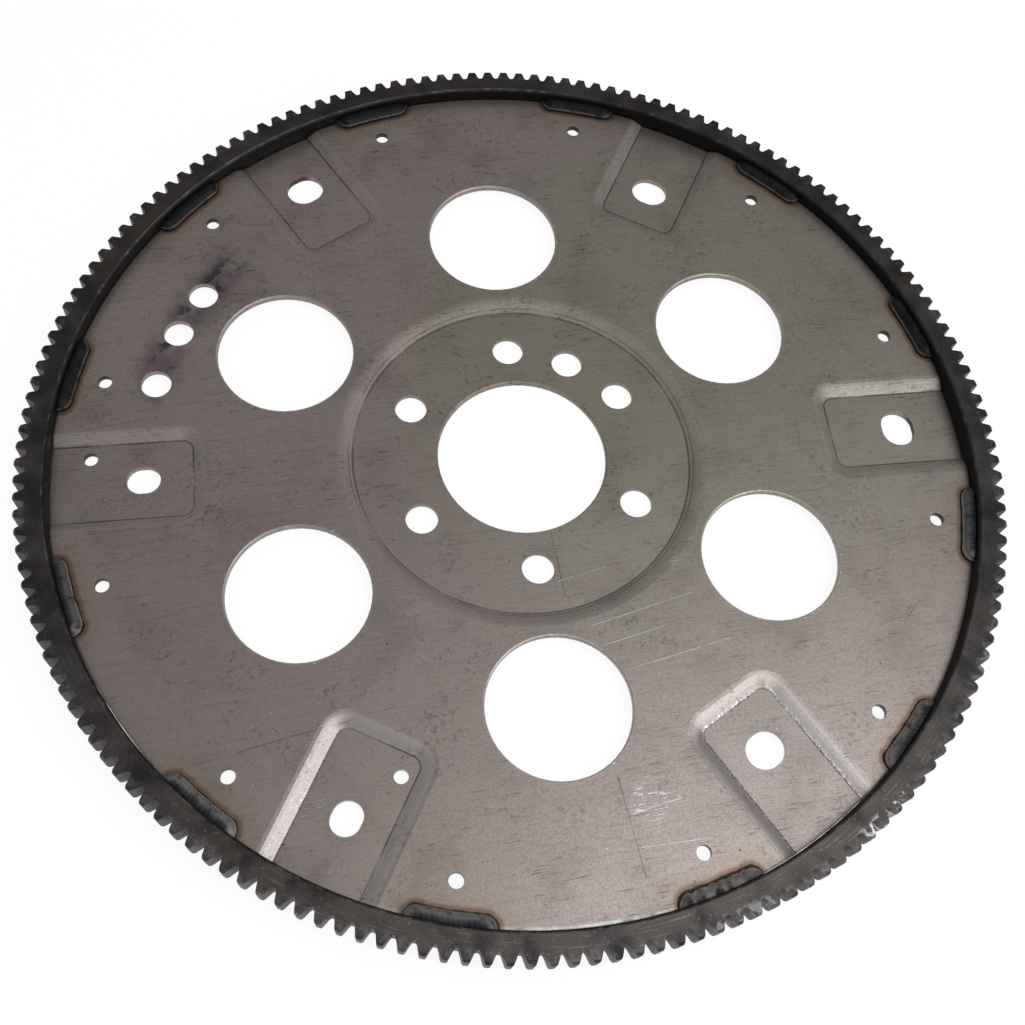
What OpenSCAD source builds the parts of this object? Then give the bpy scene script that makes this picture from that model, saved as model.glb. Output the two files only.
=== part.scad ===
// Flexplate: a pressed steel drive plate with a welded starter ring gear.
// The crank axis is Z. Z = 0 is the hub's crank face, and +X points to one of the converter pads.

/* [Plate] */
// Thickness of the pressed sheet
plate_t = 2.4; // [1.8:0.1:3.2]
// Depth of the hub disc below the web's front face
hub_drop = 3.2; // [2:0.1:4.5]
// Radius of the flat hub disc
hub_r = 62.5; // [58:0.5:66]
// Width of the pressed slope round the hub
hub_slope = 6; // [3:0.5:7]
// Radius of the die roll on the front edges of the large holes
edge_roll = 0.5; // [0.2:0.1:0.8]

/* [Crank mounting] */
// Diameter of the crank pilot hole
pilot_d = 62.6; // [56:0.2:68]
// Diameter of the crank bolt circle
crank_circle_d = 90.93; // [88:0.01:96]
// Number of crank bolts
crank_bolts = 6; // [4:1:8]
// Diameter of a crank bolt hole
crank_bolt_d = 11.8; // [9:0.1:14]
// Angle of the dowel hole from +X
dowel_angle = 60; // [56:1:64]
// Diameter of the dowel hole
dowel_d = 11.8; // [8:0.1:12.5]
// Radius at which the dowel hole lies
dowel_r = 44.2; // [42:0.1:46]

/* [Lightening holes] */
// Diameter of a lightening hole
light_d = 50.4; // [40:0.2:54]
// Radius at which the lightening holes lie
light_r = 97.2; // [95:0.1:99]

/* [Converter pads] */
// Depth of a pad below the web's front face
pad_drop = 2.5; // [1.5:0.1:3]
// Width of the flat of a pad
pad_w = 30; // [26:0.5:34]
// Radius of the inner edge of a pad's flat
pad_in_r = 119; // [115:0.5:124]
// Radius of a pad's inner corners
pad_corner = 4; // [2:0.5:6]
// Width of the pressed slope round a pad
pad_slope = 6; // [4:0.5:7]
// Diameter of the larger converter bolt circle
wide_circle_d = 292.1; // [284:0.1:298]
// Diameter of the smaller converter bolt circle
narrow_circle_d = 273.05; // [266:0.05:278]
// Width of the four oblong holes that run along the rim
rim_slot_w = 12.6; // [10:0.1:14]
// Length of the four oblong holes that run along the rim
rim_slot_l = 14.5; // [14:0.1:17]
// Width of the two oblong holes that run outwards
tight_slot_w = 10.5; // [8:0.1:11.5]
// Length of the two oblong holes that run outwards
tight_slot_l = 12; // [11.5:0.1:14]

/* [Small holes] */
// Distance of the small rim holes from the plate's edge
rim_hole_in = 13.65; // [11:0.05:17]
// Diameter of a small rim hole
rim_hole_d = 5.1; // [3:0.1:7]
// Radius at which the inner locating hole lies
inner_locator_r = 127.1; // [123:0.1:128]
// Angle of the inner locating hole from +X
inner_locator_angle = 244.6; // [243.5:0.1:245]
// Angle of the outer locating hole, which lies among the rim holes, from +X
outer_locator_angle = 176.4; // [175:0.1:177]
// Diameter of a locating hole
locator_d = 5; // [3:0.1:6]
// Radius at which the balance holes lie
balance_r = 137; // [134:0.5:142]
// Diameter of a balance hole
balance_d = 11; // [7:0.1:12]
// Angles of the balance holes from +X
balance_angles = [146.3, 154.2, 163.9]; // [140:0.1:170]

/* [Ring gear] */
// Number of teeth
teeth = 168; // [140:1:190]
// Pitch diameter of the teeth
pitch_d = 355.6; // [353:0.1:360]
// Height of a tooth above the pitch circle
addendum = 1.8; // [1.2:0.1:2.2]
// Depth of a tooth gap below the pitch circle
dedendum = 2.3; // [1.8:0.1:2.6]
// Slope of the tooth flanks
pressure_angle = 20; // [14.5:0.5:22]
// Depth of the ring under its tooth gaps
ring_wall = 6.5; // [4:0.1:9]
// Width of the ring along the axis
ring_w = 10; // [8:0.1:12]
// Height of the ring's front face above the web
ring_proud = 5.3; // [4:0.1:6]
// Bevel on the front corners of the teeth
tooth_bevel = 0.9; // [0.4:0.1:1.4]
// Chamfer on the ring's inner edges
bore_chamfer = 1; // [0.5:0.1:1.5]
// Gap between the plate's edge and the ring
plate_fit = 0.15; // [0.05:0.05:0.3]

/* [Weld beads] */
// Number of weld beads
welds = 12; // [12:12:12]
// Length of a bead between the centres of its round ends
weld_l = 21; // [10:1:26]
// Width of a bead on the plate
weld_w = 4.8; // [4:0.1:7]
// Height of a bead on the ring
weld_h = 3; // [2:0.1:3.8]

/* [Hidden] */
$fn = 240;
slope_steps = 5;
weld_steps = 4;
pads = 6;
pad_pitch = 360 / pads;
rim_slot_pads = [0, 1, 2, 5];
tight_slot_pads = [3, 4];
cut_over = 2;
web_top = plate_t + hub_drop;
web_base = web_top - plate_t;
pad_top = web_top - pad_drop;
ring_top = web_top + ring_proud;
ring_base = ring_top - ring_w;
pitch_r = pitch_d / 2;
tip_r = pitch_r + addendum;
root_r = pitch_r - dedendum;
ring_in_r = root_r - ring_wall;
plate_r = ring_in_r - plate_fit;
rim_hole_r = plate_r - rim_hole_in;
tooth_pitch = 360 / teeth;
tooth_t = PI * pitch_r / teeth;
tip_round = addendum / 4;
root_round = dedendum / 3;
round_run = 0.6;
weld_pitch = 360 / welds;
weld_root = 0.5;
steel = [0.55, 0.53, 0.51];
scale_black = [0.13, 0.13, 0.14];
bead_grey = [0.3, 0.31, 0.33];

// One side of a pressed slope: a crease at the floor, then a curve that ends level with the web.
function slope_points(half, run, drop) =
    [for (i = [0:slope_steps]) [half + run * i / slope_steps, drop * sin(90 * i / slope_steps)]];

function reversed(points) = [for (i = [len(points) - 1:-1:0]) points[i]];
function flipped(points) = [for (p = points) [-p[0], p[1]]];
function raised(points, h) = [for (p = points) [p[0], p[1] + h]];

// Closed section of the sheet above a line that runs along its underside.
function sheet_section(line) = concat(line, reversed(raised(line, plate_t)));

// One side of a pad's hollow: its slope, led on in a straight line a little past the face that it ends in.
function pad_side(half) =
    let (slope = slope_points(half, pad_slope, pad_drop))
    let (led_on = 2 * slope[slope_steps] - slope[slope_steps - 1])
    concat([for (i = [0:slope_steps - 1]) slope[i]], [led_on]);

// Section of a pad's hollow up to a height, from its middle out over one slope, and right across it.
function hollow_half(half, top) =
    let (side = pad_side(half))
    concat([[0, 0]], side, [[side[slope_steps][0], top], [0, top]]);
function hollow_full(half, top) =
    let (side = concat(pad_side(half), [[pad_side(half)[slope_steps][0], top]]))
    concat(side, reversed(flipped(side)));

// The hollow of a pad up to a height, with its floor at height 0: X runs outwards, Y across the pad.
// Two round inner corners join the end of the pad to its long sides.
module pad_hollow(top) {
    straight_x = pad_in_r + pad_corner;
    flat_half = pad_w / 2 - pad_corner;
    translate([straight_x, 0, 0])
        rotate([90, 0, 90])
        linear_extrude(plate_r + 2 * cut_over - straight_x)
        polygon(hollow_full(pad_w / 2, top));
    translate([straight_x, -flat_half, 0])
        rotate([90, 0, 180])
        linear_extrude(2 * flat_half)
        polygon(hollow_half(pad_corner, top));
    for (side = [-1, 1])
        translate([straight_x, side * flat_half, 0])
        rotate(135 - side * 45)
        rotate_extrude(angle = 90)
        polygon(hollow_half(pad_corner, top));
}

module at_pads() {
    for (i = [0:pads - 1])
        rotate(i * pad_pitch)
        children();
}

// A hole with the rounded front edge that a punch leaves, its front face at height 0.
module punched_hole(d) {
    rotate_extrude()
        polygon([
            [0, -plate_t - cut_over],
            [d / 2, -plate_t - cut_over],
            [d / 2, -edge_roll],
            [d / 2 + edge_roll, 0],
            [d / 2 + edge_roll, cut_over],
            [0, cut_over],
        ]);
}

module plain_hole(d) {
    translate([0, 0, -plate_t - cut_over])
        cylinder(d = d, h = plate_t + 2 * cut_over, $fn = 48);
}

// A slightly oblong hole along X, as two overlapping drillings leave it.
module oblong_hole(w, l) {
    for (side = [-1, 1])
        translate([side * (l - w) / 2, 0, 0])
        plain_hole(w);
}

// The turned form of the sheet: the hub disc, the slope round it and the flat web.
module hub_and_web() {
    line = concat([[0, 0]], slope_points(hub_r, hub_slope, hub_drop), [[plate_r + cut_over, hub_drop]]);
    rotate_extrude()
        polygon(sheet_section(line));
}

// The sheet as pressed: each pad is let down from the web, and the rim is trimmed round.
module pressed_sheet() {
    intersection() {
        translate([0, 0, -cut_over])
            cylinder(r = plate_r, h = web_top + 2 * cut_over);
        difference() {
            union() {
                hub_and_web();
                translate([0, 0, pad_top - plate_t])
                    at_pads()
                    pad_hollow(pad_drop + plate_t / 2);
            }
            translate([0, 0, pad_top])
                at_pads()
                pad_hollow(pad_drop + cut_over);
        }
    }
}

module hub_holes() {
    translate([0, 0, plate_t]) {
        punched_hole(pilot_d);
        for (i = [0:crank_bolts - 1])
            rotate((i + 0.5) * 360 / crank_bolts)
            translate([crank_circle_d / 2, 0, 0])
            plain_hole(crank_bolt_d);
        rotate(dowel_angle)
            translate([dowel_r, 0, 0])
            plain_hole(dowel_d);
    }
}

module web_holes() {
    translate([0, 0, web_top]) {
        at_pads()
            rotate(pad_pitch / 2)
            translate([light_r, 0, 0])
            punched_hole(light_d);
        for (i = [0:welds - 1])
            rotate((i + 0.5) * weld_pitch)
            translate([rim_hole_r, 0, 0])
            plain_hole(rim_hole_d);
        for (angle = balance_angles)
            rotate(angle)
            translate([balance_r, 0, 0])
            plain_hole(balance_d);
    }
}

// Moves a hole out to a pad's bolt circle: the larger and the smaller circle take turns.
module on_bolt_circle(pad) {
    rotate(pad * pad_pitch)
        translate([(pad % 2 == 0 ? wide_circle_d : narrow_circle_d) / 2, 0, 0])
        children();
}

// Converter bolt holes, four along the rim and two outwards, and the two locating holes.
module pad_holes() {
    translate([0, 0, pad_top]) {
        for (pad = rim_slot_pads)
            on_bolt_circle(pad)
            rotate(90)
            oblong_hole(rim_slot_w, rim_slot_l);
        for (pad = tight_slot_pads)
            on_bolt_circle(pad)
            oblong_hole(tight_slot_w, tight_slot_l);
        for (place = [[inner_locator_r, inner_locator_angle], [rim_hole_r, outer_locator_angle]])
            rotate(place[1])
            translate([place[0], 0, 0])
            plain_hole(locator_d);
    }
}

module flex_plate() {
    color(steel)
        difference() {
            pressed_sheet();
            hub_holes();
            web_holes();
            pad_holes();
        }
}

// Half thickness of a tooth at radius r, on straight flanks through the pitch circle.
function tooth_half(r) = tooth_t / 2 + (pitch_r - r) * tan(pressure_angle);

// One flank from root to tip: distance from the tooth's middle line, and radius.
flank = [
    [tooth_half(root_r + root_round) + root_round * round_run, root_r],
    [tooth_half(root_r + root_round), root_r + root_round],
    [tooth_half(tip_r - tip_round), tip_r - tip_round],
    [tooth_half(tip_r) - tip_round * round_run, tip_r],
];

function on_tooth(i, side, p) =
    let (a = i * tooth_pitch - side * p[0] / p[1] * 180 / PI)
    [p[1] * cos(a), p[1] * sin(a)];

module tooth_outline() {
    last = len(flank) - 1;
    polygon([for (i = [0:teeth - 1], k = [0:2 * last + 1])
        k <= last ? on_tooth(i, 1, flank[k]) : on_tooth(i, -1, flank[2 * last + 1 - k])]);
}

// The ring as turned, before its teeth are cut: bevelled outside, chamfered inside.
module ring_blank() {
    rotate_extrude()
        polygon([
            [ring_in_r, ring_base + bore_chamfer],
            [ring_in_r + bore_chamfer, ring_base],
            [tip_r - tooth_bevel, ring_base],
            [tip_r + cut_over, ring_base + tooth_bevel + cut_over],
            [tip_r + cut_over, ring_top - tooth_bevel - cut_over],
            [tip_r - tooth_bevel, ring_top],
            [ring_in_r + bore_chamfer, ring_top],
            [ring_in_r, ring_top - bore_chamfer],
        ]);
}

module ring_gear() {
    color(scale_black)
        intersection() {
            ring_blank();
            translate([0, 0, ring_base - cut_over])
                linear_extrude(ring_w + 2 * cut_over)
                tooth_outline();
        }
}

// Section of a bead in the corner of plate and ring: X runs from inside the ring's wall over the plate.
bead_section = let (reach = weld_w + weld_root)
    concat([[0, 0]],
        [for (i = [0:weld_steps]) [reach * cos(90 * i / weld_steps), weld_h * sin(90 * i / weld_steps)]]);

// A bead with round ends, which lies on the plate and stops flush with its edge at the ring's wall.
module bead() {
    intersection() {
        cylinder(r = plate_r, h = weld_h + cut_over);
        translate([ring_in_r + weld_root, 0, 0])
            union() {
                translate([0, -weld_l / 2, 0])
                    rotate([90, 0, 180])
                    linear_extrude(weld_l)
                    polygon(bead_section);
                for (side = [-1, 1])
                    translate([0, side * weld_l / 2, 0])
                    rotate(135 - side * 45)
                    rotate_extrude(angle = 90)
                    polygon(bead_section);
            }
    }
}

module weld_beads() {
    color(bead_grey)
        translate([0, 0, web_top])
        for (i = [0:welds - 1])
            rotate((i + 0.5) * weld_pitch)
            bead();
}

flex_plate();
ring_gear();
weld_beads();
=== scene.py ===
# %% [markdown]
# A flexplate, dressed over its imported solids
#
# A flexplate is a pressed steel disc that joins an engine's crankshaft to a torque converter.
# A toothed ring for the starter motor is welded to its rim.
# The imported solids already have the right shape, so this lesson keeps the plate and the ring,
# softens their edges, gives every surface a worn metal finish, and lays weld beads in the corner.
# All lengths are in metres, in the frame of the solids: Z is the crank axis, and the hub rests on z = 0.

import math

import bpy
from mathutils import Matrix, Vector, noise


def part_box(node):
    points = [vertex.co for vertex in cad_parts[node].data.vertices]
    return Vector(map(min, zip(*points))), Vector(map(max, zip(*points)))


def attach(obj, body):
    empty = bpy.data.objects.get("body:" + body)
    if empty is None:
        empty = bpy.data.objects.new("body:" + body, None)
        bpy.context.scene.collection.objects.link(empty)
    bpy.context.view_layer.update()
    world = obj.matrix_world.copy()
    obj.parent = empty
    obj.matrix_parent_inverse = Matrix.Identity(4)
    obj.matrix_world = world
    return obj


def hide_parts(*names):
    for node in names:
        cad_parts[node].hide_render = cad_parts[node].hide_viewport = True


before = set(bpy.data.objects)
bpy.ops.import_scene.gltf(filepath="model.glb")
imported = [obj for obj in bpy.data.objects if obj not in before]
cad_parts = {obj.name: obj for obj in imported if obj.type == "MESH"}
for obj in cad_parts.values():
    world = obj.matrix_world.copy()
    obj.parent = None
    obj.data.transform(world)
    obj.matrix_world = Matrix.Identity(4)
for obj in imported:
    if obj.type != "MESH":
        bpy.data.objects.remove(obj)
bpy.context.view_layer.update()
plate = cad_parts["flex_plate"]
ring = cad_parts["ring_gear"]

# %% [markdown]
# Driving sizes
#
# The finishes need to know where the pressed forms lie, for example to put heat tint beside a weld.
# Heights and outer radii come from the solids themselves. The other sizes repeat the part's own dimensions.

# %% Sizes that the finishes and the beads share
MM = 0.001
plate_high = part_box("flex_plate")[1]
bead_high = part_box("weld_beads")[1]
ring_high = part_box("ring_gear")[1]
PLATE_FIT = 0.15 * MM
WEB_Z = plate_high[2]
WALL_R = plate_high[0] + PLATE_FIT
TIP_R = ring_high[0]
HUB_R = 62.5 * MM
LIGHT_PLACE_R, LIGHT_HOLE_R = 97.2 * MM, 25.2 * MM
PAD_IN, PAD_HALF, PAD_CORNER = 119 * MM, 15 * MM, 4 * MM
PADS = 6
BEADS = 12
BEAD_LENGTH, BEAD_WIDTH = 21 * MM, 4.8 * MM
BEAD_HEIGHT = bead_high[2] - WEB_Z
print("web face at", round(WEB_Z / MM, 2), "mm, ring wall at", round(WALL_R / MM, 2), "mm")

# %% [markdown]
# The camera
#
# The photograph was taken from above the near edge, a little to the left, with the camera slightly rolled.
# Aiming a camera with a Track To constraint would lose that roll.
# So its three axes are worked out from the eye point, the aim point and the roll, and set as one matrix.

# %% Place the camera
EYE = Vector((-64.2, -209.8, 409.7)) * MM
AIM = Vector((-7.0, -24.5, 5.6)) * MM
ROLL = math.radians(-11.26)
LENS_MM, SENSOR_MM = 43.83, 36
NEAREST_SEEN = 0.01

forward = (AIM - EYE).normalized()
level_right = forward.cross(Vector((0, 0, 1))).normalized()
level_up = level_right.cross(forward)
camera_up = level_up * math.cos(ROLL) + level_right * math.sin(ROLL)
camera_right = forward.cross(camera_up)
camera_data = bpy.data.cameras.new("camera")
camera_data.lens = LENS_MM
camera_data.sensor_width = SENSOR_MM
camera_data.sensor_fit = "HORIZONTAL"
camera_data.clip_start = NEAREST_SEEN
camera = bpy.data.objects.new("camera", camera_data)
axes = Matrix((camera_right, camera_up, -forward)).transposed()
camera.matrix_world = Matrix.Translation(EYE) @ axes.to_4x4()
bpy.context.collection.objects.link(camera)
bpy.context.scene.camera = camera
print("camera is", round((AIM - EYE).length / MM), "mm from its aim")

# %% [markdown]
# A small language for shader maths
#
# Node setups are easier to read as sums than as links.
# Each Wire holds one socket of a material, and arithmetic on it adds Math nodes.
# Its add method makes any other node: the settings first, then the values or links of its sockets.

# %% Wire: sockets that can be added and multiplied
class Wire:
    def __init__(self, tree, socket=None):
        self.tree = tree
        self.socket = socket

    def add(self, kind, settings, sockets, out=0):
        made = self.tree.nodes.new(kind)
        for name, value in settings.items():
            setattr(made, name, value)
        for name, value in sockets.items():
            if isinstance(value, Wire):
                self.tree.links.new(value.socket, made.inputs[name])
            else:
                made.inputs[name].default_value = value
        return Wire(self.tree, made.outputs[out])

    def math(self, operation, *values):
        return self.add("ShaderNodeMath", {"operation": operation}, dict(enumerate(values)))

    def __add__(self, other):
        return self.math("ADD", self, other)

    def __sub__(self, other):
        return self.math("SUBTRACT", self, other)

    def __rsub__(self, other):
        return self.math("SUBTRACT", other, self)

    def __mul__(self, other):
        return self.math("MULTIPLY", self, other)

    def __truediv__(self, other):
        return self.math("DIVIDE", self, other)

    def __abs__(self):
        return self.math("ABSOLUTE", self)

    __radd__ = __add__
    __rmul__ = __mul__

    def at_least(self, other):
        return self.math("MAXIMUM", self, other)

    def at_most(self, other):
        return self.math("MINIMUM", self, other)

    def rise(self, low, high):
        """0 below low and 1 above high, with a soft step between; falls where low is above high."""
        down = low > high
        sockets = {
            "Value": self,
            "From Min": min(low, high), "From Max": max(low, high),
            "To Min": float(down), "To Max": 1.0 - down,
        }
        return self.add("ShaderNodeMapRange", {"interpolation_type": "SMOOTHSTEP"}, sockets)

    def mix(self, first, second):
        """The first colour where this wire is 0, and the second where it is 1."""
        return self.add("ShaderNodeMix", {"data_type": "RGBA"}, {0: self, 6: first, 7: second}, out=2)


def colour(red, green, blue):
    """A screen colour from 0 to 255 as the linear value that a socket takes."""
    parts = [value / 255 for value in (red, green, blue)]
    return (*(p / 12.92 if p <= 0.04045 else ((p + 0.055) / 1.055) ** 2.4 for p in parts), 1.0)


def painted(base, layers):
    """The base colour under layers of a mask and a screen colour, each laid over the one before."""
    for mask, tone in layers:
        base = mask.mix(base, colour(*tone))
    return base


print("shader helper ready")

# %% [markdown]
# Starting a finish
#
# Every finish on the part begins in the same way: an empty material with one Principled BSDF.
# Its patterns are laid out in object coordinates, so they stay fixed to the metal from every side.
# Polar coordinates are added too, because most features of the part repeat round its axis.

# %% A new finish with its coordinates
class Finish:
    def __init__(self, name):
        self.material = bpy.data.materials.new(name)
        self.material.use_nodes = True
        tree = self.material.node_tree
        self.shader = tree.nodes["Principled BSDF"]
        self.start = Wire(tree)
        self.place = self.start.add("ShaderNodeTexCoord", {}, {}, out=3)
        self.x, self.y, self.z = (self.part(self.place, i) for i in range(3))
        self.radius = self.length(self.x, self.y)
        self.angle = self.start.math("ARCTAN2", self.y, self.x)
        self.normal = self.start.add("ShaderNodeNewGeometry", {}, {}, out=1)
        self.up = self.part(self.normal, 2)

    def part(self, vector, index):
        return self.start.add("ShaderNodeSeparateXYZ", {}, {"Vector": vector}, out=index)

    def length(self, a, b):
        return self.start.math("SQRT", a * a + b * b)

    def vector(self, operation, sockets, out=0):
        return self.start.add("ShaderNodeVectorMath", {"operation": operation}, sockets, out)

    def sector(self, count, shift=0.0):
        """Way out and way across in the nearest of equal sectors, with middles at (k + shift) pitches."""
        pitch = 2 * math.pi / count
        turn = (self.start.math("FRACT", self.angle / pitch + (count + 0.5 - shift)) - 0.5) * pitch
        out, across = self.start.math("COSINE", turn), self.start.math("SINE", turn)
        return self.radius * out, self.radius * across

    def stretched(self, along, across, turn):
        """Object coordinates turned about Z, with so many waves a metre along and across."""
        size = (1 / along, 1 / across, 1 / across)
        sockets = {"Vector": self.place, "Rotation": (0, 0, turn), "Scale": size}
        return self.start.add("ShaderNodeMapping", {"vector_type": "TEXTURE"}, sockets)

    def noise(self, scale, detail=3.0, vector=None):
        """Noise from 0 to 1, with about so many waves a metre."""
        where = vector or self.place
        sockets = {"Vector": where, "Scale": scale, "Detail": detail, "Roughness": 0.55}
        return self.start.add("ShaderNodeTexNoise", {}, sockets)

    def dots(self, scale, size):
        """Round dots about 1 / scale apart, of which the random part of each cell lets some through."""
        far = self.start.add("ShaderNodeTexVoronoi", {}, {"Vector": self.place, "Scale": scale})
        chance = self.part(Wire(far.tree, far.socket.node.outputs["Color"]), 0)
        return (far / scale).rise(size, 0.5 * size) * chance.rise(0.55, 0.6)

    def eased(self, amount):
        """The surface's normal, turned towards straight up: more for a larger amount."""
        lift = self.start.add("ShaderNodeCombineXYZ", {}, {"Z": amount})
        return self.vector("NORMALIZE", {0: self.vector("ADD", {0: self.normal, 1: lift})})

    def bump(self, height, strength, distance, normal=None):
        base = normal or self.normal
        sockets = {"Strength": strength, "Distance": distance, "Height": height, "Normal": base}
        return self.start.add("ShaderNodeBump", {}, sockets)

    def feed(self, **sockets):
        for name, value in sockets.items():
            socket = self.shader.inputs[name.replace("_", " ")]
            if isinstance(value, Wire):
                self.material.node_tree.links.new(value.socket, socket)
            else:
                socket.default_value = value
        return self.material


print("finish helper ready")

# %% [markdown]
# The plate's bare steel
#
# The sheet is rolled steel with no coating. It is a warm grey with cloudy patches and a fine grain,
# small dark flecks drawn out along the rolling direction, stains and pits.
# An image texture would tie the finish to one photograph, so the patterns are noise at real sizes.

# %% Patterns of the rolled sheet
steel = Finish("plate_steel")
ROLLING = math.radians(4)
clouds = steel.noise(11, 4)
patches = steel.noise(45, 5)
grain = steel.noise(1300, 3)
blots = steel.noise(80, 3)
crumbs = steel.noise(620, 4)
drawn = steel.noise(1.0, 3, steel.stretched(130, 1900, ROLLING))
flecks = drawn.rise(0.59, 0.70) * patches.rise(0.35, 0.6)
stains = crumbs.rise(0.52, 0.68) * blots.rise(0.46, 0.64)
hairs = steel.noise(1.0, 3, steel.stretched(45, 1500, ROLLING)).rise(0.5, 0.75)
pits = steel.dots(110, 0.5 * MM)
specks = steel.dots(190, 0.32 * MM)
front = steel.up.rise(0.3, 0.6)
# The side near the viewer; several marks below are painted lighter there as painted light.
near = steel.y.rise(20 * MM, -110 * MM)
print("sheet patterns:", len(steel.material.node_tree.nodes), "nodes")

# %% [markdown]
# Pressed slopes and their creases
#
# The die slid over the slopes round the hub and the pads, so they are a little more matt than the flats.
# Away from the hub their colour is painted paler as painted light, most on the near side.
# A slope leans, so the upward part of its normal picks it out.
# Each slope starts in a sharp crease, which is painted darker as painted shade. The crease of the hub is a
# circle.
# That of a pad is a rectangle with two round corners,
# whose distance comes from the coordinates in the nearest sector.
# A worn slope runs out softly, so its normal is eased towards the flats:
# most round the hub, and on the near pads' slopes that lean to the left.

# %% Slopes, hub crease and pad creases
HUB_OUTER_LINE = HUB_R + 1.4 * MM
slope = abs(steel.up).rise(0.997, 0.95)
hub_line = abs(steel.radius - HUB_R).rise(0.50 * MM, 0.15 * MM) * 0.8
hub_line += abs(steel.radius - HUB_OUTER_LINE).rise(0.35 * MM, 0.1 * MM) * 0.5
pad_out, pad_across = steel.sector(PADS)
past_end = (PAD_IN + PAD_CORNER - pad_out).at_least(0.0)
past_side = (abs(pad_across) - (PAD_HALF - PAD_CORNER)).at_least(0.0)
pad_edge = steel.length(past_end, past_side) - PAD_CORNER
pad_line = abs(pad_edge).rise(0.42 * MM, 0.12 * MM)
# Painted shade: a dark line along the hub's two circles and each pad's crease.
crease_shade = (hub_line + pad_line) * front * patches.rise(0.25, 0.55)
# Painted highlight: bright dots just outside each pad's crease, mostly on the right and near side.
right_side = steel.x.rise(-40 * MM, 40 * MM)
crease_glint_line = abs(pad_edge - 0.5 * MM).rise(0.8 * MM, 0.2 * MM) * (0.2 + right_side * 0.8)
crease_glints = crease_glint_line * grain.rise(0.50, 0.62) * near * front
in_hub = steel.radius.rise(90 * MM, 80 * MM)
lean_left = steel.part(steel.normal, 0).rise(-0.06, -0.22) * near
ease = (0.45 - near * 0.2 + lean_left * 0.8 + in_hub * 0.9) * steel.up.rise(0.55, 0.7)
print("creases at the hub and at", PADS, "pads")

# %% [markdown]
# Heat tint beside the welds
#
# Welding heat oxidises bare steel in bands: black at the bead, then a brown line, then a trace of straw.
# The distance from a bead comes from polar coordinates in the bead's own sector:
# the way along the rim past the bead's straight part, and the gap to the ring's wall.

# %% Distance from the nearest bead and the bands of tint
TINT_REACH = 8.0 * MM
bead_along = steel.sector(BEADS, 0.5)[1]
past_bead = (abs(bead_along) - BEAD_LENGTH / 2).at_least(0.0)
wall_gap = WALL_R - steel.radius
bead_gap = steel.length(past_bead, wall_gap) - BEAD_WIDTH
heat = bead_gap + (steel.noise(190, 2) - 0.5) * (1.6 * MM)
soot = heat.rise(0.4 * MM, -0.1 * MM) * front
brown = heat.rise(2.2 * MM, 0.6 * MM) * front
straw = heat.rise(TINT_REACH, 2.0 * MM) * front
# Painted shade: a dark line in the corner against the ring's wall, fainter on the near side.
wall_corner_shade = wall_gap.rise(1.1 * MM, 0.3 * MM) * (1 - near * 0.6)
# Painted highlight: a pale line along the plate's edge at the ring's wall, on the near side.
rim_front = abs(steel.x + 5 * MM).rise(75 * MM, 35 * MM) * near
edge_highlight = wall_gap.rise(2.0 * MM, 0.7 * MM) * rim_front * blots.rise(0.36, 0.6) * front
print("tint reaches about", round(TINT_REACH / MM), "mm from a bead")

# %% [markdown]
# Marks of handling
#
# Scratches are single strokes between two points in millimetres, where the photograph shows them.
# A stroke is drawn by its distance: across its line, and past its ends.
# Scuffs are round areas in which short marks along the rolling direction are rubbed bright.

# %% Scratches, dark hair lines and scuffs
PALE_WIDTH, DARK_WIDTH = 0.20 * MM, 0.30 * MM
PALE_STROKES = [
    ((24.5, -86.8), (62.7, -78.7)),
    ((15.2, -69.8), (53.2, -60.5)),
    ((18.0, -77.3), (40.4, -72.2)),
    ((6.1, -51.1), (23.9, -47.0)),
    ((20.2, -146.1), (44.0, -145.4)),
    ((18.9, -135.3), (36.0, -131.7)),
]
DARK_STROKES = [
    ((16.1, -123.0), (20.0, -155.5)),
    ((6.3, -32.4), (8.2, -57.0)),
    ((-126.0, -106.2), (-54.6, -91.9)),
    ((66.9, 24.4), (70.7, 3.9)),
    ((124.1, -81.7), (133.2, -72.4)),
]
SCUFFS = [
    ((27, -132), 12),
    ((125, -79), 2.4),
    ((-44, -57), 8),
    ((49.5, -48), 3.5),
    ((54, 48), 7),
    ((72, -12), 4),
    ((-85, -121), 7),
]
print(len(PALE_STROKES), "scratches,", len(DARK_STROKES), "hair lines,", len(SCUFFS), "scuffs")

# %% Masks for the marks
on_plan = steel.vector("MULTIPLY", {0: steel.place, 1: (1, 1, 0)})


def spot(point):
    """A point of the plan, given in millimetres."""
    return Vector((*point, 0)) * MM


def stroke(begin, end, width):
    """1 on a thin line from begin to end."""
    span = spot(end) - spot(begin)
    reach = steel.vector("SUBTRACT", {0: on_plan, 1: spot(begin)})
    share = steel.vector("DOT_PRODUCT", {0: reach, 1: span / span.length_squared}, out=1)
    share = steel.start.add("ShaderNodeClamp", {}, {"Value": share})
    nearest = steel.vector("SCALE", {0: span, "Scale": share})
    return steel.vector("DISTANCE", {0: reach, 1: nearest}, out=1).rise(width, 0.2 * width)


def away(point):
    """Distance from a point, seen from above."""
    return steel.vector("DISTANCE", {0: on_plan, 1: spot(point)}, out=1)


pale_lines = sum(stroke(*ends, PALE_WIDTH) for ends in PALE_STROKES) * blots.rise(0.30, 0.62)
dark_lines = sum(stroke(*ends, DARK_WIDTH) for ends in DARK_STROKES) * blots.rise(0.30, 0.60)
scuffs = sum(away(middle).rise(size * MM, 0.3 * size * MM) for middle, size in SCUFFS)
scuffs *= drawn.rise(0.45, 0.35) * crumbs.rise(0.46, 0.56)
print("marks:", len(steel.material.node_tree.nodes), "nodes so far")

# %% [markdown]
# Edges of the holes
#
# The punched rims of the lightening holes are rubbed pale and nicked.
# The walls of the small rim holes are too deep for light to reach, so they are darkened.

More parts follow.
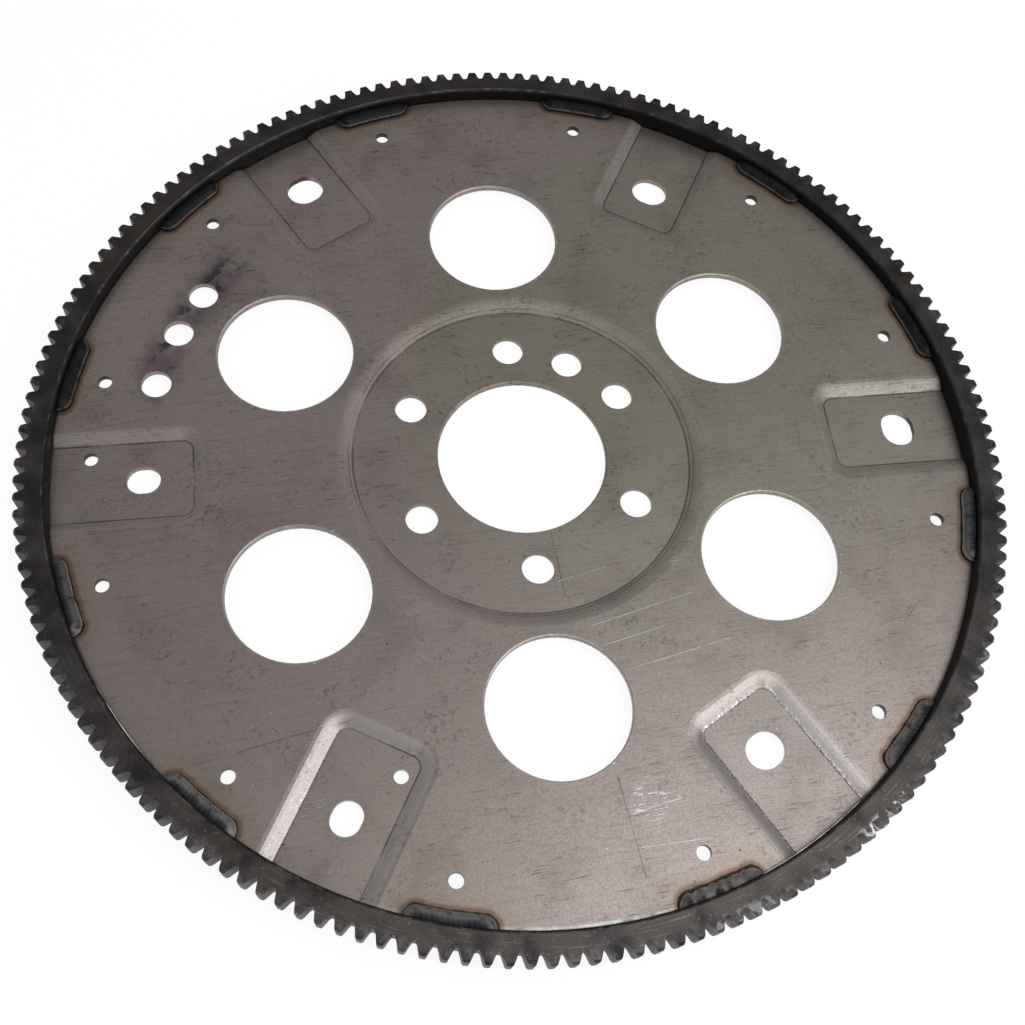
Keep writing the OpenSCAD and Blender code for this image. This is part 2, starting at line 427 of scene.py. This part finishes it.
# %% Rims, nicks and dark hole walls
SMALL_HOLES_R = 150 * MM
light_out, light_across = steel.sector(PADS, 0.5)
hole_gap = steel.length(light_out - LIGHT_PLACE_R, light_across) - LIGHT_HOLE_R
hole_rim = hole_gap.rise(0.9 * MM, 0.2 * MM) * front
small_holes = abs(steel.up).rise(0.5, 0.2) * steel.radius.rise(SMALL_HOLES_R, SMALL_HOLES_R + 2 * MM)
nicks = hole_gap.rise(2.0 * MM, 0.3 * MM) * crumbs.rise(0.62, 0.70) * front
print("rims of", PADS, "lightening holes")

# %% [markdown]
# Marking dye
#
# The three balance holes were marked out with a violet dye that has smeared along their circle.
# The smear is a band of that circle, broken up by noise, with a darker core.

# %% The smear of dye
DYE_R, DYE_ANGLE = 137 * MM, math.radians(151.5)
DYE_HALF, DYE_SOLID = 44 * MM, 24 * MM
dye_across = abs(steel.radius - DYE_R + (patches - 0.5) * (8 * MM))
dye_along = abs(steel.angle - DYE_ANGLE) * DYE_R
dye_band = dye_across.rise(12 * MM, 3 * MM) * dye_along.rise(DYE_HALF, DYE_SOLID) * front
dye = dye_band * blots.rise(0.30, 0.60)
dye_core = dye_band * dye_across.rise(7 * MM, 2 * MM) * steel.noise(150, 4).rise(0.50, 0.62)
print("dye runs", round(math.degrees(2 * DYE_HALF / DYE_R)), "degrees round the rim")

# %% [markdown]
# Putting the steel together
#
# The colours are laid over each other in this order:
# sheet, slopes painted paler as painted light, dirt, painted shade in the hole walls and creases, scratches
# with painted highlights, dye, tint, and painted shade at the ring's wall.
# Roughness follows the same masks, since a scratch shines and soot does not.

# %% The plate's colours
GREENISH_SPOT = (75, 25)
greenish = away(GREENISH_SPOT).rise(150 * MM, 50 * MM)
# Scratches, scuffs, nicks and specks are wear; the crease glints and edge highlight are painted highlights.
wear_and_glints = pale_lines * 0.5 + scuffs * 0.5 + nicks * 0.5
wear_and_glints += crease_glints * 0.7 + specks * 0.35 + edge_highlight * 0.45
bright = wear_and_glints.at_most(1.0)
sheet_colour = painted(greenish.mix(colour(150, 138, 133), colour(146, 141, 127)), [
    (clouds.rise(0.35, 0.7) * 0.4, (160, 151, 145)),
    (patches.rise(0.45, 0.75) * 0.45, (114, 104, 98)),
    (hairs * 0.22, (96, 87, 82)),
    (grain.rise(0.35, 0.75) * 0.45, (114, 106, 100)),
    # Painted light: away from the hub the slopes are painted paler, most on the near side.
    (slope * (1 - in_hub) * (0.12 + near * 0.35), (182, 175, 171)),
    (stains * 0.45, (80, 70, 64)),
    # The flecks are real; they are painted fainter on the near side as painted light.
    (flecks * (0.70 - near * 0.42), (66, 56, 52)),
    (small_holes * 0.85, (32, 28, 27)),
    (pits * 0.8, (46, 39, 36)),
    # Painted shade in the creases.
    (crease_shade * 0.75, (52, 42, 40)),
    (dark_lines * 0.5, (58, 49, 46)),
    (hole_rim * 0.3, (196, 190, 185)),
    (bright, (232, 229, 226)),
    (dye * 0.65, (70, 54, 70)),
    (dye_core * 0.75, (28, 23, 32)),
    (straw * 0.22, (132, 108, 78)),
    (brown * 0.65, (94, 62, 38)),
    (soot * 0.85, (18, 14, 12)),
    # Painted shade at the ring's wall.
    (wall_corner_shade * 0.85, (24, 19, 18)),
])
print("plate colours:", len(steel.material.node_tree.nodes), "nodes so far")

# %% The plate's material
sheet_rough = 0.36 + grain * 0.10 + slope * (0.12 - near * 0.1)
sheet_rough += flecks * 0.15 + soot * 0.2 - bright * 0.1
sheet_relief = grain * 0.6 - flecks * 0.5
plate_material = steel.feed(
    Base_Color=sheet_colour,
    Roughness=sheet_rough,
    Metallic=0.9 - soot * 0.6 - dye * 0.3 - wall_corner_shade * 0.5,
    Specular_IOR_Level=0.3,
    Normal=steel.bump(sheet_relief, 0.3, 0.12 * MM, steel.eased(ease)),
)
print("plate finish:", len(plate_material.node_tree.nodes), "nodes")

# %% [markdown]
# The ring's black scale
#
# The ring is hardened, which leaves a near-black scale with a brown cast.
# The wall inside is painted blackest, as painted shade.
# The scale is rubbed bright where a starter pinion or a bench edge touched the teeth.
# Specks along the chamfer and the bevels are painted bright as painted highlights.
# They lean, so the upward part of their normal picks them out.

# %% The ring's masks
# Each worn place has its middle and half width in degrees, and how far it is worn.
WORN_PLACES = [(-55, 5, 1.0), (-74, 6, 0.2), (-33, 3, 0.2)]
scale = Finish("ring_scale")
lean = scale.up.rise(0.25, 0.5) * scale.up.rise(0.97, 0.8)
scale_patches = scale.noise(80, 5)
inner_wall_shade = scale.radius.rise(WALL_R + 0.9 * MM, WALL_R + 0.2 * MM)
chamfer_glints = lean * scale.noise(260, 3).rise(0.52, 0.66)


def worn_place(middle, half, amount):
    from_middle = abs(scale.angle - math.radians(middle))
    return from_middle.rise(math.radians(half), math.radians(0.4 * half)) * amount


worn_turns = sum(worn_place(*place) for place in WORN_PLACES)
teeth_zone = scale.radius.rise(TIP_R - 5.5 * MM, TIP_R - 3.0 * MM)
worn_teeth = teeth_zone * scale.noise(330, 3).rise(0.50, 0.62) * (worn_turns + 0.08)
# The side near the viewer, where the scale is painted lighter as painted light and its specks, scrapes and
# chamfer glints are painted stronger.
lit_near_side = scale.y.rise(-40 * MM, -170 * MM)
round_waves, radial_waves = scale.angle * 9.0, scale.radius * 1900
round_run = scale.start.add("ShaderNodeCombineXYZ", {}, {"X": round_waves, "Y": radial_waves})
scrapes = scale.noise(1.0, 4, round_run).rise(0.56, 0.70) * scale_patches.rise(0.42, 0.60)
# Painted shade: the roots of the tooth gaps are painted near black.
tooth_gap_shade = abs(scale.up).rise(0.4, 0.1) * scale.radius.rise(TIP_R - 1.6 * MM, TIP_R - 3.6 * MM)
ring_specks = scale.noise(900, 3).rise(0.62, 0.70)
print("ring masks:", len(scale.material.node_tree.nodes), "nodes")

# %% The ring's material
scale_colour = painted(scale_patches.rise(0.3, 0.7).mix(colour(44, 43, 42), colour(68, 65, 64)), [
    (scale.noise(35, 3).rise(0.5, 0.7) * 0.5, (74, 62, 57)),
    # Painted light: the near side of the ring is lighter.
    (lit_near_side * scale_patches.rise(0.3, 0.6) * 0.7, (86, 78, 75)),
    (ring_specks * (0.15 + lit_near_side * 0.4), (124, 117, 112)),
    (scrapes * (0.12 + lit_near_side * 0.45), (138, 131, 126)),
    (chamfer_glints * (0.25 + lit_near_side * 0.35), (146, 141, 137)),
    # Painted shade on the inside wall.
    (inner_wall_shade * 0.9, (18, 18, 20)),
    (tooth_gap_shade * 0.95, (14, 13, 12)),
    (worn_teeth * 0.8, (196, 194, 191)),
])
ring_material = scale.feed(
    Base_Color=scale_colour,
    Roughness=0.40 + scale_patches * 0.15 - worn_teeth * 0.1,
    Metallic=0.8 - inner_wall_shade * 0.5 - tooth_gap_shade * 0.4,
    Specular_IOR_Level=0.2,
    Normal=scale.bump(scale.noise(1000, 4), 0.35, 0.15 * MM),
)
print("ring finish:", len(ring_material.node_tree.nodes), "nodes")

# %% [markdown]
# Softened edges
#
# A punched sheet has rolled edges, and the teeth of a hardened ring are never knife sharp.
# The solids have plain corners, so a small bevel goes on as a modifier:
# the solid's own mesh stays as it is.
# The Weld modifier comes first, because a loaded mesh is split along its sharp edges.
# Hardened normals keep the flats flat right up to the bevel, so a crease stays a crisp line.

# %% Bevel the plate and the ring
WELD_REACH = 0.002 * MM
BEVEL_WIDTH, BEVEL_TURN = 0.25 * MM, math.radians(26)


def soften(node, material):
    """Bevel a solid's sharp edges and give it its material."""
    weld = node.modifiers.new("weld", "WELD")
    weld.merge_threshold = WELD_REACH
    bevel = node.modifiers.new("bevel", "BEVEL")
    bevel.width = BEVEL_WIDTH
    bevel.segments = 2
    bevel.limit_method = "ANGLE"
    bevel.angle_limit = BEVEL_TURN
    bevel.harden_normals = True
    node.data.materials.clear()
    node.data.materials.append(material)
    print(node.name, "bevel", round(BEVEL_WIDTH / MM, 2), "mm")


soften(plate, plate_material)
soften(ring, ring_material)

# %% [markdown]
# The weld beads
#
# Each bead is lofted along the wall: quarter-ellipse sections that shrink to a point over the round ends.
# Faint ripples from the puddles run across it. Real ripples catch light that a bump map would miss.
# One bead near the front is crusted with spatter, so its surface gets larger lumps.

# %% Loft one bead
STATIONS = 110
SECTION_STEPS = 14
RIPPLE_PITCH = 1.7 * MM
RIPPLE_DEPTH = 0.06 * MM
RIPPLE_BOW = 0.9 * MM
CRUSTED_BEAD = 9
# Lumps have a depth as a share of the bead, and a size.
CRUST_LUMPS, PLAIN_LUMPS = (0.30, 1.6 * MM), (0.05, 4 * MM)
# Their noise is stretched round the section, and each bead takes it from another place.
LUMP_TURN, LUMP_STEP = 1.5, 7.3
bead_pitch = 2 * math.pi / BEADS


def on_rim(radius, angle, z):
    return radius * math.cos(angle), radius * math.sin(angle), z


def bead_points(number):
    """Rows of points over a bead, each from the plate up to the wall; the end rows are single points."""
    half = BEAD_LENGTH / 2
    reach = half + BEAD_WIDTH
    middle = (number + 0.5) * bead_pitch
    lump_depth, lump_size = CRUST_LUMPS if number == CRUSTED_BEAD else PLAIN_LUMPS
    rows = []
    for i in range(STATIONS + 1):
        along = -reach * math.cos(math.pi * i / STATIONS)
        angle = middle + along / WALL_R
        over = max(abs(along) - half, 0.0) / BEAD_WIDTH
        swell = math.sqrt(max(1 - over * over, 0.0))
        row = []
        for k in range(SECTION_STEPS + 1):
            turn = 0.5 * math.pi * k / SECTION_STEPS
            bowed = along + RIPPLE_BOW * math.cos(turn)
            ripple = math.sin(2 * math.pi * bowed / RIPPLE_PITCH)
            lump = noise.noise(Vector((along / lump_size, turn * LUMP_TURN, number * LUMP_STEP)))
            dip = lump_depth * (0.5 + 0.5 * lump) + RIPPLE_DEPTH * (0.5 + 0.5 * ripple) / BEAD_HEIGHT
            size = swell * (1 - dip)
            radius = WALL_R - BEAD_WIDTH * math.cos(turn) * size
            row.append(on_rim(radius, angle, WEB_Z + BEAD_HEIGHT * math.sin(turn) * size))
        row.append(on_rim(WALL_R, angle, WEB_Z))
        rows.append(row if 0 < i < STATIONS else row[:1])
    return rows


print("one bead has", sum(len(row) for row in bead_points(0)), "points")

# %% Join the beads into one piece
def grid_mesh(name, grids):
    """A mesh of tubes, each from rings of points. A ring of one point closes its end with triangles."""
    points, faces = [], []
    for rows in grids:
        rings = []
        for row in rows:
            rings.append(range(len(points), len(points) + len(row)))
            points += row
        for low, high in zip(rings, rings[1:]):
            for k in range(max(len(low), len(high))):
                here = low[k % len(low)], low[(k + 1) % len(low)]
                there = high[(k + 1) % len(high)], high[k % len(high)]
                faces.append(tuple(dict.fromkeys(here + there)))
    mesh = bpy.data.meshes.new(name)
    mesh.from_pydata(points, [], faces)
    mesh.validate()
    mesh.polygons.foreach_set("use_smooth", [True] * len(mesh.polygons))
    mesh.update()
    made = bpy.data.objects.new(name, mesh)
    bpy.context.collection.objects.link(made)
    return made


beads = grid_mesh("laid_beads", [bead_points(i) for i in range(BEADS)])
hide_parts("weld_beads")
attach(beads, "root")
print("beads:", len(beads.data.polygons), "faces")

# %% [markdown]
# Weld metal
#
# A cooled bead is blue-black on its crown and darker at its foot.
# Between them the shoulder carries a pale line, a painted highlight that is wider on the near side of the
# part.
# The near beads are also painted bluer and lighter as painted light. Height over the web tells the three
# apart.

# %% The beads' material
weld = Finish("weld_metal")
mottle = weld.noise(300, 4)
height = weld.z - WEB_Z
foot = height.rise(0.4 * MM, 0.1 * MM)
lit_near_beads = weld.y.rise(40 * MM, -120 * MM)
# Painted highlight: a pale line on the shoulder, wider on the near beads.
shoulder = height.rise(0.55 * MM, 0.8 * MM) * height.rise(1.6 * MM, 1.1 * MM)
shoulder *= 0.35 + lit_near_beads * 0.6
wide_shoulder = height.rise(0.55 * MM, 0.9 * MM) * height.rise(2.85 * MM, 2.2 * MM)
shoulder += wide_shoulder * lit_near_beads * 0.6
weld_colour = painted(mottle.rise(0.3, 0.7).mix(colour(14, 14, 15), colour(27, 28, 32)), [
    (lit_near_beads * mottle.rise(0.3, 0.7) * 0.7, (48, 51, 60)),
    (weld.noise(110, 3).rise(0.55, 0.7) * 0.3, (42, 35, 31)),
    ((shoulder * mottle.rise(0.2, 0.55)).at_most(1.0), (146, 140, 135)),
    (foot * 0.95, (14, 12, 11)),
])
weld_material = weld.feed(
    Base_Color=weld_colour,
    Roughness=0.38 + mottle * 0.2,
    Metallic=0.6 - foot * 0.4,
    Specular_IOR_Level=0.25,
    Normal=weld.bump(weld.noise(1600, 3), 0.3, 0.1 * MM),
)
beads.data.materials.append(weld_material)
print("weld finish:", len(weld_material.node_tree.nodes), "nodes")

# %% [markdown]
# The stage
#
# The photograph has a clean white ground. The floor is pale paper,
# and most of what the camera sees of it is plain white,
# so the ground stays white while a trace of the part's own shadow still falls on it.
# Mirror and see-through rays get the same white, so that metal reflects the ground that the camera shows.

# %% Floor
FLOOR_SIDE = 40.0
FLOOR_Z = -0.2 * MM
PAPER = (0.86, 0.86, 0.86, 1)
WHITE_SHARE, WHITE_LEVEL = 0.88, 1.04
WHITE_RAYS = ("Is Camera Ray", "Is Glossy Ray", "Is Transmission Ray")

floor_mesh = bpy.data.meshes.new("floor")
edge = FLOOR_SIDE / 2
square = ((-1, -1), (1, -1), (1, 1), (-1, 1))
corners = [(edge * x, edge * y, FLOOR_Z) for x, y in square]
floor_mesh.from_pydata(corners, [], [(0, 1, 2, 3)])
floor = bpy.data.objects.new("floor", floor_mesh)
bpy.context.collection.objects.link(floor)
print("floor", FLOOR_SIDE, "m wide")

# %% The floor's material
ground = Finish("floor")
ground.feed(Base_Color=PAPER, Roughness=0.9)
paper = Wire(ground.material.node_tree, ground.shader.outputs[0])
white = ground.start.add("ShaderNodeEmission", {}, {"Color": (1, 1, 1, 1), "Strength": WHITE_LEVEL})
seen = sum(ground.start.add("ShaderNodeLightPath", {}, {}, out=ray) for ray in WHITE_RAYS)
mixed = ground.start.add("ShaderNodeMixShader", {}, {0: seen * WHITE_SHARE, 1: paper, 2: white})
output = ground.material.node_tree.nodes["Material Output"]
ground.material.node_tree.links.new(mixed.socket, output.inputs["Surface"])
floor_mesh.materials.append(ground.material)
print("floor shows", WHITE_SHARE, "of plain white")

# %% [markdown]
# Light
#
# The plate is brightest near the viewer and to the right, and dark at the far side.
# A flat sheet mirrors what hangs above its near edge,
# so one large soft lamp there makes that fall of light.
# A lower lamp on the right shows only in the pressed slopes and the teeth that lean towards it.
# A weak even sky fills the rest.

# %% Sky and lamps
SKY = 0.44
LAMP_COLOUR = (0.93, 0.97, 1.0)
LAMP_AIM = Vector((0.03, -0.05, 0))
LAMPS = {
    "overhead": {"place": (0.44, -0.22, 1.12), "size": 0.8, "power": 5.7},
    "side": {"place": (0.86, -0.46, 0.78), "size": 0.45, "power": 2.5},
}

world = bpy.data.worlds.new("studio")
world.use_nodes = True
sky_inputs = world.node_tree.nodes["Background"].inputs
sky_inputs["Color"].default_value = (1, 1, 1, 1)
sky_inputs["Strength"].default_value = SKY
bpy.context.scene.world = world

for name, lamp in LAMPS.items():
    light = bpy.data.lights.new(name, "AREA")
    light.shape = "DISK"
    light.size = lamp["size"]
    light.energy = lamp["power"]
    light.color = LAMP_COLOUR
    place = Vector(lamp["place"])
    holder = bpy.data.objects.new(name, light)
    holder.location = place
    holder.rotation_euler = (LAMP_AIM - place).to_track_quat("-Z", "Y").to_euler()
    bpy.context.collection.objects.link(holder)
print(len(LAMPS), "lamps over sky", SKY)

# %% [markdown]
#
# The Standard view transform shows colours about as they are written.

# %% Finish
bpy.context.scene.view_settings.view_transform = "Standard"
